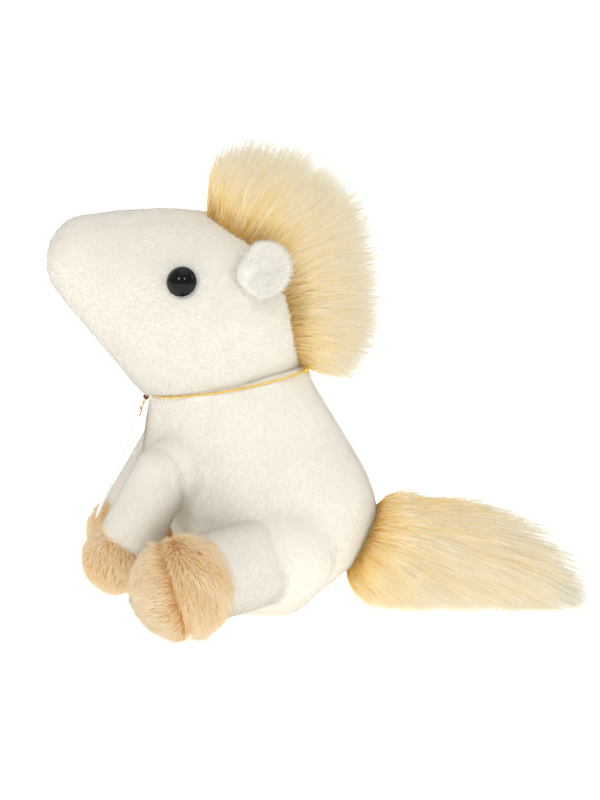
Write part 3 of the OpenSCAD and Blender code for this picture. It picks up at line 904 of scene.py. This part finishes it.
class PONY_OT_ears(bpy.types.Operator):
    """Sew the two round ears with their pinched fronts"""

    bl_idname = "pony.ears"
    bl_label = "Ears"

    def execute(self, context):
        plush = context.scene.pony_plush
        root = on_head(0.0105, 0.0225)
        out = out_of_head(root)
        up = (Vector((0, 0, 1)) - out * out.z).normalized()
        back = up.cross(out)
        lean = radians(33)
        along = back * cos(lean) + out * sin(lean)
        face = out * cos(lean) - back * sin(lean)
        # The hinge is 4 mm below the ear's middle, where the pinched fold is sewn.
        hinge = CROWN + root - out * 0.0004 - up * 0.0040
        for number, (side, name) in enumerate(SIDES):
            body = f"ear_{name}"
            ear = ball((0, 0, 0), (EAR_R - 0.001, EAR_R - 0.001, 0.0021), 48, 24)
            named(ear, f"ear_plush_{name}")
            flat = points_of(ear)
            share = (flat[:, 0] / EAR_R + 1) / 2
            # The front is pinched into a pleat, and the rim curls outwards.
            flat[:, 1] *= 0.62 + 0.38 * np.clip(share * 2.6, 0, 1)
            flat[:, 2] += 0.0008 * (1 - np.clip(share * 2.4, 0, 1)) * np.cos(flat[:, 1] / 0.0026)
            flat[:, 2] += 0.0040 * ((flat[:, 0] ** 2 + flat[:, 1] ** 2) / EAR_R**2 - 0.4)
            flat[:, 2] -= 0.0010 * np.exp(-((flat[:, 1] / 0.0022) ** 2)) * np.clip(1.3 - 1.6 * share, 0, 1)
            flat[:, 0] += EAR_R
            axes = np.array([by_side(along, side), by_side(up, side), by_side(face, side)])
            moved(ear, flat @ axes + np.array(by_side(hinge, side)))
            if side == RIGHT:
                edited(ear, bpy.ops.mesh.normals_make_consistent, inside=False)
            # The ear's cloth and its pile are lighter than the body's: painted light that lifts the shade
            # in the cupped ear.
            cloth = shared(knit, "polyester_knit_ear", "#f3f1ea", "#efece3")
            sewn(ear, body, "ear_plush", cloth, f"ear_outer_{name}", f"ear_lining_{name}")
            middle = np.array(by_side(hinge + along * EAR_R * 0.4, side))
            pile = longer_pile(
                f"ear_pile_{name}", ear, plush.ear, plush.length * 1.2, plush.width,
                lambda p: unit(p - middle), 21 + number, lift=0.8, lay=0.45, tone=0.95,
            )
            sewn(pile, body, "ear_plush", shared(white_pile))
        return {"FINISHED"}


class PONY_OT_mane(bpy.types.Operator):
    """Lay the long mane in two layers of hair"""

    bl_idname = "pony.mane"
    bl_label = "Mane"

    def execute(self, context):
        hair = context.scene.pony_hair
        skin = bpy.data.objects["head_plush"]
        centre = np.array(MANE_FAN)

        def shown(places):
            return in_mane(places) & (places[:, 2] > MANE_LOW)

        for layer, (low, high, seed) in enumerate(((0.5, 0.95, 31), (0.76, 1.5, 32))):
            draw = np.random.default_rng(seed)
            roots, out = scattered(skin, hair.mane, draw, shown)
            fan = (roots - centre) * [0.6, 1, 1]
            loose = 0.11 + 0.04 * layer
            way = unit(unit(fan) * 0.85 + out * 0.25 + draw.normal(0, loose, roots.shape))
            reach = reach_to("mane_pile", roots, way, 0.018)
            # Towards the nape and beside the ears the hairs are shorter.
            reach *= 1 - 0.15 * np.clip((0.135 - roots[:, 2]) / 0.028, 0, 1)
            reach = np.clip(reach, 0.008, 0.036) * (low + (high - low) * draw.random(len(roots)) ** 1.5)
            size = reach[:, None]
            start = way * size * 0.95
            bend = np.array([0, 0.10, -0.03]) * size - [0, 0, 0.16] * size * way[:, 1:2] ** 2
            bend += draw.normal(0, 0.07, roots.shape) * size
            bend += bunched(roots, start + bend, 22, 0.32, draw)
            # The under layer's tones are set lower than the top layer's: painted shade beneath the top
            # layer.
            shade = tones(roots + start, draw, 0.46 + 0.18 * layer, 0.24)
            name = ("mane_under_hair", "mane_hair")[layer]
            made = strands(
                name, roots - out * 0.0005, start, bend,
                hair.width * draw.uniform(0.5, 1.1, len(roots)), 2, shade, draw,
            )
            wear(made, shared(gold_pile))
            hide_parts("mane_pile" if layer else "mane_backing")
            with_neck(made)
        return {"FINISHED"}


def sleeve(limb, name, body, ends, radii, seed, nap, keep, fill):
    """One white leg from its root to its hoof, sewn, stuffed and brushed."""
    skin = wrapped(f"{limb}_sleeve_plush_{name}", [ball(end, [r] * 3) for end, r in zip(ends, radii)])
    softened(skin, 0.0014, 6)
    stuffed_lumps(skin, 0.0003, 0.02, seed)
    nodes = f"{limb}_sleeve_{name}", f"{limb}_stuffing_{name}"
    sewn(skin, body, "white_plush", white_knit(), *nodes, fill=fill)
    number = bpy.context.scene.pony_plush.sleeve
    short_pile(f"{limb}_sleeve_pile_{name}", skin, body, number, nap, seed + 2, keep)


def hoof_form(limb, name, body, middle, radius, seam_normal, seam_at, depth, fill):
    """A stuffed hoof with a pulled seam round it."""
    skin = ball(middle, [radius] * 3, 64, 40)
    named(skin, f"{limb}_hoof_plush_{name}")
    softened(skin, 0.0011, 4)
    seam = np.array(seam_normal)
    pulled_plane(skin, np.array(middle) + seam * seam_at, seam, depth, 0.0016)
    nodes = f"{limb}_hoof_{name}", f"{limb}_sole_{name}"
    sewn(skin, body, "hoof_plush", beige_knit(), *nodes, fill=fill)
    return skin


class PONY_OT_fore_legs(bpy.types.Operator):
    """Sew, stuff and brush the two fore legs"""

    bl_idname = "pony.fore_legs"
    bl_label = "Fore legs"

    def execute(self, context):
        fur = context.scene.pony_hoof
        in_torso = inside(bpy.data.objects["torso_plush"], 0.0015)
        for number, (side, name) in enumerate(SIDES):
            body = f"fore_leg_{name}"
            root, hoof = by_side(SHOULDER, side), by_side(FORE_HOOF, side)
            way = (hoof - root).normalized()
            # The seam between the white sleeve and the hoof slants forwards.
            cuff = Vector((0.1 * side, -0.81, -0.59)).normalized()

            def past_cuff(places):
                return (places - np.array(hoof)) @ np.array(cuff)

            sleeve(
                "fore", name, body, (root, hoof - way * 0.0075), (0.0112, 0.0114), 41 + number,
                way, lambda p: ~in_torso(p) & (past_cuff(p) < -0.0030), 0.8,
            )
            sole = Vector((0.1 * side, -0.8, -0.55)).normalized()
            skin = hoof_form(
                "fore", name, body, hoof + mm(0, -0.6, -1.0), 0.0127, sole, 0.004, 0.0003, 0.8
            )
            seam_at = np.array(hoof + sole * 0.004)

            def nap(places):
                return np.array(way) * 0.6 + [0, 0, -0.7] + 0.35 * unit(places - seam_at)

            pile = longer_pile(
                f"fore_hoof_pile_{name}", skin, fur.fore, fur.length * 0.75, fur.width,
                nap, 45 + number, lambda p: past_cuff(p) > -0.0050,
            )
            sewn(pile, body, "hoof_plush", shared(hoof_pile))
        return {"FINISHED"}


class PONY_OT_hind_legs(bpy.types.Operator):
    """Sew, stuff and brush the two hind legs with their seamed hooves"""

    bl_idname = "pony.hind_legs"
    bl_label = "Hind legs"

    def execute(self, context):
        fur = context.scene.pony_hoof
        in_torso = inside(bpy.data.objects["torso_plush"], 0.0015)
        for number, (side, name) in enumerate(SIDES):
            body = f"hind_leg_{name}"
            root, hoof = by_side(HIP, side), by_side(HIND_HOOF, side)
            way = (hoof - root).normalized()

            def past_hoof(places):
                return (places - np.array(hoof)) @ np.array(way)

            sleeve(
                "hind", name, body, (root, hoof - way * 0.0160), (0.0170, 0.0160), 51 + number,
                np.array(way) + [0, 0, -0.5],
                lambda p: ~in_torso(p) & (past_hoof(p) < -0.0125) & (p[:, 2] > 0.001), 0.85,
            )
            # The sole faces forwards and slightly down, with its seam close to the hoof's middle.
            sole = Vector((0.10 * side, -0.956, -0.274)).normalized()
            middle = hoof - way * 0.0008 + mm(0, 0, 0.4)
            skin = hoof_form("hind", name, body, middle, 0.0184, sole, 0.0026, 0.0013, 0.85)
            seam_at, facing = np.array(hoof + sole * 0.0026), np.array(sole)

            def off_seam(places):
                return (places - seam_at) @ facing

            def tone(places):
                # Creamier on the sole, and darker where the seam parts the pile: painted shade in the
                # seam's groove.
                off = off_seam(places)
                return 0.5 + 0.3 * (off > 0) - 0.6 * np.exp(-((off / 0.0024) ** 2))

            # Each part's share of the tufts, where it grows, its nap, its seed and its slot.
            parts = {
                "side": (
                    0.62, lambda p: (off_seam(p) <= 0) & (past_hoof(p) > -0.0172),
                    lambda p: np.array([0, 0.25, -1]) + 0 * p, 55, "hoof_plush",
                ),
                "sole": (
                    0.38, lambda p: off_seam(p) > 0,
                    lambda p: unit(p - seam_at) * 0.3 + facing, 57, "sole_plush",
                ),
            }
            for part, (share, keep, nap, seed, slot) in parts.items():
                pile = longer_pile(
                    f"hind_{part}_pile_{name}", skin, int(fur.hind * share), fur.length,
                    fur.width, nap, seed + number, keep, tone=tone,
                )
                sewn(pile, body, slot, shared(hoof_pile))
        return {"FINISHED"}


def behind_rump(places):
    """How far back the body reaches at some points, and the room that hairs leave over it."""
    found = np.full(len(places), 0.030)
    for middle, radii in ((SEAT, SEAT_R), (RUMP, RUMP_R)):
        off = (places - np.array(middle)) / np.array(radii)
        rest = np.maximum(1 - off[:, 0] ** 2 - off[:, 2] ** 2, 0)
        found = np.maximum(found, middle.y + radii.y * np.sqrt(rest) + 0.0012)
    return found


class PONY_OT_tail(bpy.types.Operator):
    """Comb the long tail out over the floor"""

    bl_idname = "pony.tail"
    bl_label = "Tail"

    def execute(self, context):
        hair = context.scene.pony_hair
        a, b = np.array(TAIL_ROOT), np.array(TAIL_END)
        axis = unit(b - a)
        across = np.array([1.0, 0, 0])
        upward = np.cross(across, axis)
        for layer, (low, high, seed) in enumerate(((0.5, 0.88, 61), (0.86, 1.2, 62))):
            number = hair.tail
            draw = np.random.default_rng(seed)
            # How far along the tail's core each hair starts.
            t = draw.random(number) ** 1.25
            # Nearly half of the hairs spring from a wide patch that lies over the rump's seam.
            tuft = draw.random(number) < 0.45
            t[tuft] = 0
            turn = draw.uniform(0, 2 * pi, number)
            around = across * np.cos(turn)[:, None] + upward * np.sin(turn)[:, None]
            wide = np.sqrt(draw.random(number))
            roots = a + (b - a) * t[:, None] + around * 0.0026
            patch = a + around * wide[:, None] * [0.015, 0, 0.014] - [0, 0, 0.003]
            patch[:, 1] = behind_rump(patch) - 0.002
            roots[tuft] = patch[tuft]
            # Hairs near the root fan out, and those near the end lie along the tail.
            open_ = (0.95 * (1 - t) ** 1.2 + 0.10) * draw.uniform(0.25, 1.0, number)
            forward = 1.05 - 0.5 * open_
            open_[tuft] = (0.15 + 0.75 * wide * draw.uniform(0.6, 1, number))[tuft]
            forward[tuft] = draw.uniform(0.3, 2.2, tuft.sum())
            out = unit(around * open_[:, None] * [1.0, 1.0, 1.1] + axis * forward[:, None])
            start_at = roots.copy()
            start_at[:, 1] = np.maximum(start_at[:, 1], 0.0515)
            reach = reach_to("tail_pile", start_at, out, 0.024)
            reach = np.clip(reach, 0.012, 0.085) * draw.uniform(low, high, number)
            tip = start_at + out * reach[:, None]
            tip[:, 2] = np.maximum(tip[:, 2] - 0.002, 0.0004)
            # Low hairs at the root fall back under the rump, as far as it leaves room.
            tip[:, 1] -= 0.016 * tuft * wide * np.clip((0.034 - tip[:, 2]) / 0.03, 0, 1)
            tip[:, 1] -= 0.008 * tuft * np.clip((tip[:, 2] - 0.036) / 0.01, 0, 1)
            tip[:, 2] -= np.clip(tip[:, 2] - 0.040, 0, 1) * tuft * 0.55
            # No hair is much longer than the tail.
            tip[:, 1] -= 0.75 * np.clip(tip[:, 1] - 0.128, 0, 1)
            tip[:, 2] = np.maximum(tip[:, 2], 0.0006)
            tip[:, 1] = np.maximum(tip[:, 1], behind_rump(tip))
            size = np.linalg.norm(tip - roots, axis=1)[:, None]
            first = around * (open_[:, None] * 1.5 + 0.1) + axis * forward[:, None] * 0.8
            first = unit(first + [0, 0, 0.1])
            first *= size * 0.85
            bend = tip - roots - first + draw.normal(0, 0.045, roots.shape) * size
            bend += bunched(tip, 0 * tip, 24, 0.45, draw)
            # Underneath and next to the body, less light reaches the hair.
            shade = tones(tip, draw, 0.42 + 0.2 * layer, 0.27, 0.2)
            shade *= np.clip(0.35 + (tip[:, 2] / 0.03) * 0.35 + (tip[:, 1] - 0.045) / 0.06, 0.3, 1)
            name = ("tail_under_hair", "tail_hair")[layer]
            made = strands(name, roots, first, bend, hair.width * 1.05, 3, shade, draw)
            sewn(made, "tail", "gold_long_pile", shared(gold_pile), *(["tail_pile"] if layer else []))
        for name in ("tail_core", "tail_root"):
            wear(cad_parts[name], gold_knit())
        return {"FINISHED"}


def tube(name, line, radius):
    """A round tube with closed ends along a line of points."""
    curve = bpy.data.curves.new(name, "CURVE")
    curve.dimensions = "3D"
    curve.bevel_depth, curve.bevel_resolution, curve.use_fill_caps = radius, 2, True
    spline = curve.splines.new("POLY")
    spline.points.add(len(line) - 1)
    for point, place in zip(spline.points, line):
        point.co = (*place, 1)
    made = bpy.data.objects.new(name, curve)
    bpy.context.scene.collection.objects.link(made)
    only(made)
    bpy.ops.object.convert(target="MESH")
    return bpy.context.object


def plied(line, radius, turn, phase):
    """The path of one ply that winds round a line."""
    line = np.array(line)
    way = unit(np.gradient(line, axis=0))
    side = unit(np.cross(way, [0.0, 0.1, 1.0]))
    other = np.cross(way, side)
    run = np.append(0, np.cumsum(np.linalg.norm(np.diff(line, axis=0), axis=1)))
    angle = (2 * pi * run / turn + phase)[:, None]
    return line + radius * (side * np.cos(angle) + other * np.sin(angle))


def neck_ring(radius_x, radius_y, lift, start, number):
    """Points once round the neck from an angle, counted from the back towards the left."""
    turned = Matrix.Rotation(NECK_LEAN, 3, "X")
    # It sinks into the pile at each side of the neck.
    angles = np.linspace(start, start + 2 * pi, number)
    sunk = 1 - 0.045 * np.exp(-(((np.abs(np.sin(angles)) - 0.93) / 0.12) ** 2))
    return [
        NECK + turned @ Vector((radius_x * sin(a) * deep, radius_y * cos(a) * deep, lift))
        for a, deep in zip(angles, sunk)
    ]


class PONY_OT_neck_cord(bpy.types.Operator):
    """Twist and tie the gold cord round the neck"""

    bl_idname = "pony.neck_cord"
    bl_label = "Neck cord"

    def execute(self, context):
        trim = context.scene.pony_trim
        knot_at = radians(22)
        ring = neck_ring(0.0266, 0.0321, 0.0005, knot_at, 640)
        plies = [
            tube(f"ply_{i}", plied(ring, trim.ply * 0.9, trim.turn, pi * i), trim.ply) for i in (0, 1)
        ]
        cord = joined("neck_cord_twisted", plies)
        sewn(cord, "torso", "gold_cord", shared(gold_yarn), "neck_cord")
        at, up = ring[0], Vector((0, 0, 1))
        knot = []
        # An overhand knot, its small bow loop and its two cut ends.
        for phase, size in ((0.0, 1.25), (1.1, 1.05), (2.2, 1.15)):
            turn = [
                at + Vector((cos(a) * size, sin(a) * size * 0.7, sin(a * 2 + phase) * 0.8)) * MM
                for a in np.linspace(0, 2 * pi, 28)
            ]
            knot.append(tube("turn", turn, trim.ply))
        outward = Vector((sin(knot_at) * 0.6, cos(knot_at), 0)).normalized()
        side = up.cross(outward)
        bow = []
        for a in np.linspace(0, 2 * pi, 28):
            swing = side * 1.8 * sin(a) + up * 2.4 * sin(a / 2)
            bow.append(at + (outward * (0.4 + 3.2 * sin(a / 2)) + swing) * MM)
        knot.append(tube("bow", bow, trim.ply * 0.8))
        for lean, rise, reach in ((0.6, 1.0, 5.4), (-0.8, -0.35, 4.6)):
            aim = (outward + side * lean + Vector((0, 0, rise))).normalized()
            end = [at + (aim * s + Vector((0, 0, -0.05 * s * s))) * MM for s in np.linspace(0, reach, 10)]
            knot.append(tube("end", end, trim.ply * 0.75))
        knot = joined("cord_knot_tied", knot)
        sewn(knot, "torso", "gold_cord", shared(gold_yarn), "cord_knot")
        return {"FINISHED"}


class PONY_OT_tag(bpy.types.Operator):
    """Hang the blank tag with its bead"""

    bl_idname = "pony.tag"
    bl_label = "Hang tag"

    def execute(self, context):
        trim = context.scene.pony_trim
        lean = radians(22)
        down = Vector((0, -sin(lean), -cos(lean)))
        front = Vector((0, -cos(lean), sin(lean)))
        width, long, thick, corner = 0.016, 0.046, 0.0005, 0.0024
        middle = middle_of("tag_card")
        clear_selection()
        bpy.ops.mesh.primitive_grid_add(x_subdivisions=24, y_subdivisions=64, size=1)
        card = named(bpy.context.object, "tag_card_cut")
        flat = points_of(card) * [width, long, 1]
        # Rounded corners, and a slight curl along the card from handling.
        square = np.array([width / 2 - corner, long / 2 - corner])
        reach = np.abs(flat[:, :2]) - square
        far = (reach > 0).all(1)
        pull = corner / np.maximum(np.linalg.norm(reach[far], axis=1), corner)
        flat[far, :2] = np.sign(flat[far, :2]) * (square + reach[far] * pull[:, None])
        moved(card, flat)
        bpy.ops.object.mode_set(mode="EDIT")
        bpy.ops.mesh.select_all(action="DESELECT")
        bpy.ops.object.mode_set(mode="OBJECT")
        hole = np.array([0, long / 2 - 0.0034, 0])
        for face in card.data.polygons:
            face.select = (Vector(face.center) - Vector(hole)).length < 0.0011
        bpy.ops.object.mode_set(mode="EDIT")
        bpy.ops.mesh.select_mode(type="FACE")
        bpy.ops.mesh.delete(type="FACE")
        bpy.ops.object.mode_set(mode="OBJECT")
        flat = points_of(card)
        ring = np.linalg.norm(flat - hole, axis=1)
        near = ring < 0.0018
        flat[near] = hole + (flat[near] - hole) / ring[near, None] * np.maximum(ring[near, None], 0.0013)
        flat[:, 2] += 0.0006 * (flat[:, 1] / (long / 2)) ** 2
        moved(card, flat)
        apply(card, "SOLIDIFY", thickness=thick, offset=0, use_even_offset=True)
        apply(card, "BEVEL", width=0.0001, segments=2, limit_method="ANGLE", angle_limit=radians(50))
        axes = np.array([Vector((1, 0, 0)), -down, front])
        moved(card, points_of(card) @ axes + np.array(middle))
        wear(
            card,
            shared(tag_card_stock, "paperboard_calendered", tuple(trim.card), 0.45),
            shared(tag_card_stock, "kraft_board", tuple(trim.kraft), 0.8),
        )
        for face in card.data.polygons:
            face.material_index = 1 if face.normal.dot(front) < -0.7 else 0
        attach(card, "tag")
        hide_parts("tag_card")
        bead_at = middle_of("tag_bead")
        # The gold loop goes through the bead and the card's punched hole.
        through = middle + Vector(hole @ axes)
        loop = []
        for a in np.linspace(0, 2 * pi, 40):
            open_ = Vector((0.0011 * sin(a), 0, 0)) + front * 0.0004 * sin(2 * a)
            loop.append(bead_at.lerp(through, (1 - cos(a)) / 2) + open_)
        thread = joined("tag_loop_thread", [
            tube(f"strand_{i}", plied(loop, 0.00016, 0.0016, pi * i), 0.0002) for i in (0, 1)
        ])
        sewn(thread, "tag", "gold_cord", shared(gold_yarn), "tag_loop")
        bead = named(ball(bead_at, [0.0013, 0.0013, 0.0012], 32, 20), "tag_bead_turned")
        # Its drilled hole starts in a dip at each end.
        pulled_in(bead, [bead_at + down * 0.0012, bead_at + down * 0.0016], 0.0003, 0.0004)
        pulled_in(bead, [bead_at - down * 0.0012, bead_at - down * 0.0016], 0.0003, 0.0004)
        only(bead)
        bpy.ops.object.shade_smooth()
        sewn(bead, "tag", "bead_plastic", shared(bead_plastic), "tag_bead")
        return {"FINISHED"}


class PONY_OT_inner_pieces(bpy.types.Operator):
    """Give the pieces inside the toy their materials"""

    bl_idname = "pony.inner_pieces"
    bl_label = "Inner pieces"

    def execute(self, context):
        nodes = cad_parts
        wear(nodes["pellet_pouch"], shared(knit, "nylon_mesh_pouch", "#e9e4d8", "#d8d2c4"))
        wear(nodes["neck_ball"], shared(stuffing))
        for _, name in SIDES:
            wear(nodes[f"eye_washer_{name}"], shared(washer_plastic))
        return {"FINISHED"}


def soft_light(name, place, aim, size, power):
    lamp = bpy.data.lights.new(name, "AREA")
    lamp.shape, lamp.size, lamp.size_y, lamp.energy = "RECTANGLE", size[0], size[1], power
    made = bpy.data.objects.new(name, lamp)
    made.location = place
    made.rotation_euler = (Vector(aim) - Vector(place)).to_track_quat("-Z", "Y").to_euler()
    bpy.context.scene.collection.objects.link(made)


class PONY_OT_stage(bpy.types.Operator):
    """Set the acrylic floor, the soft lights and the camera"""

    bl_idname = "pony.stage"
    bl_label = "Stage"

    def execute(self, context):
        stage = context.scene.pony_stage
        clear_selection()
        bpy.ops.mesh.primitive_plane_add(size=60)
        floor = named(bpy.context.object, "opal_floor")
        wear(floor, opal_acrylic())
        world = bpy.data.worlds.new("studio")
        world.use_nodes = True
        sky, tree = world.node_tree.nodes["Background"], world.node_tree
        sky.inputs["Color"].default_value = (1, 0.995, 0.985, 1)
        # The walls look white, but give only a soft fill.
        seen = node(tree, "ShaderNodeLightPath")
        strength = node(
            tree, "ShaderNodeMapRange", {"Value": seen.outputs["Is Camera Ray"]}, To_Min=0.60, To_Max=1.1
        )
        tree.links.new(strength.outputs["Result"], sky.inputs["Strength"])
        context.scene.world = world
        toy = mm(0, 14.4, 84.4)
        soft_light("window_left", (0.95, -0.62, 0.95), toy, (0.22, 0.32), 3.1)
        soft_light("window_right", (1.1, 0.30, 1.0), toy, (0.17, 0.28), 2.2)
        soft_light("top_panel", (0.0, 0.1, 1.5), toy, (1.2, 1.2), 2.4)
        soft_light("fill_far", (-1.2, -0.35, 0.7), toy, (0.8, 0.8), 3.6)
        soft_light("fill_back", (-0.2, 1.35, 0.8), toy, (0.8, 0.8), 2.8)
        camera = bpy.data.objects.new("camera", bpy.data.cameras.new("camera"))
        context.scene.collection.objects.link(camera)
        az, el = stage.azimuth, stage.elevation
        back = Vector((sin(az) * cos(el), -cos(az) * cos(el), sin(el)))
        camera.location = toy + back * stage.distance
        camera.rotation_euler = (-back).to_track_quat("-Z", "Y").to_euler()
        camera.data.sensor_fit = "VERTICAL"
        camera.data.sensor_height = 24
        camera.data.lens = 24 * stage.distance / stage.view
        camera.data.clip_end = 100
        context.scene.camera = camera
        context.scene.view_settings.view_transform = "Standard"
        return {"FINISHED"}


class PONY_PT_panel(bpy.types.Panel):
    """Lists the pony's sizes and its pieces"""

    bl_label = "Plush Pony"
    bl_idname = "PONY_PT_panel"
    bl_space_type = "VIEW_3D"
    bl_region_type = "UI"
    bl_category = "Pony"

    def draw(self, context):
        for name, group in GROUPS.items():
            box = self.layout.box()
            box.label(text=group.__doc__)
            for key in group.__annotations__:
                box.prop(getattr(context.scene, name), key)
        for operator in OPERATORS:
            self.layout.operator(operator.bl_idname)


GROUPS = {
    "pony_plush": PonyPlush,
    "pony_hair": PonyHair,
    "pony_hoof": PonyHoof,
    "pony_trim": PonyTrim,
    "pony_stage": PonyStage,
}
OPERATORS = (
    PONY_OT_torso,
    PONY_OT_head,
    PONY_OT_eyes,
    PONY_OT_ears,
    PONY_OT_mane,
    PONY_OT_fore_legs,
    PONY_OT_hind_legs,
    PONY_OT_tail,
    PONY_OT_neck_cord,
    PONY_OT_tag,
    PONY_OT_inner_pieces,
    PONY_OT_stage,
)


def register():
    for group in GROUPS.values():
        bpy.utils.register_class(group)
    for operator in (*OPERATORS, PONY_PT_panel):
        bpy.utils.register_class(operator)
    for name, group in GROUPS.items():
        setattr(bpy.types.Scene, name, bpy.props.PointerProperty(type=group))


def unregister():
    for name in GROUPS:
        delattr(bpy.types.Scene, name)
    for operator in (PONY_PT_panel, *reversed(OPERATORS)):
        bpy.utils.unregister_class(operator)
    for group in reversed(list(GROUPS.values())):
        bpy.utils.unregister_class(group)


def main():
    register()
    for operator in OPERATORS:
        getattr(bpy.ops.pony, operator.bl_idname.split(".")[1])()
    bpy.context.view_layer.update()


if __name__ == "__main__":
    main()
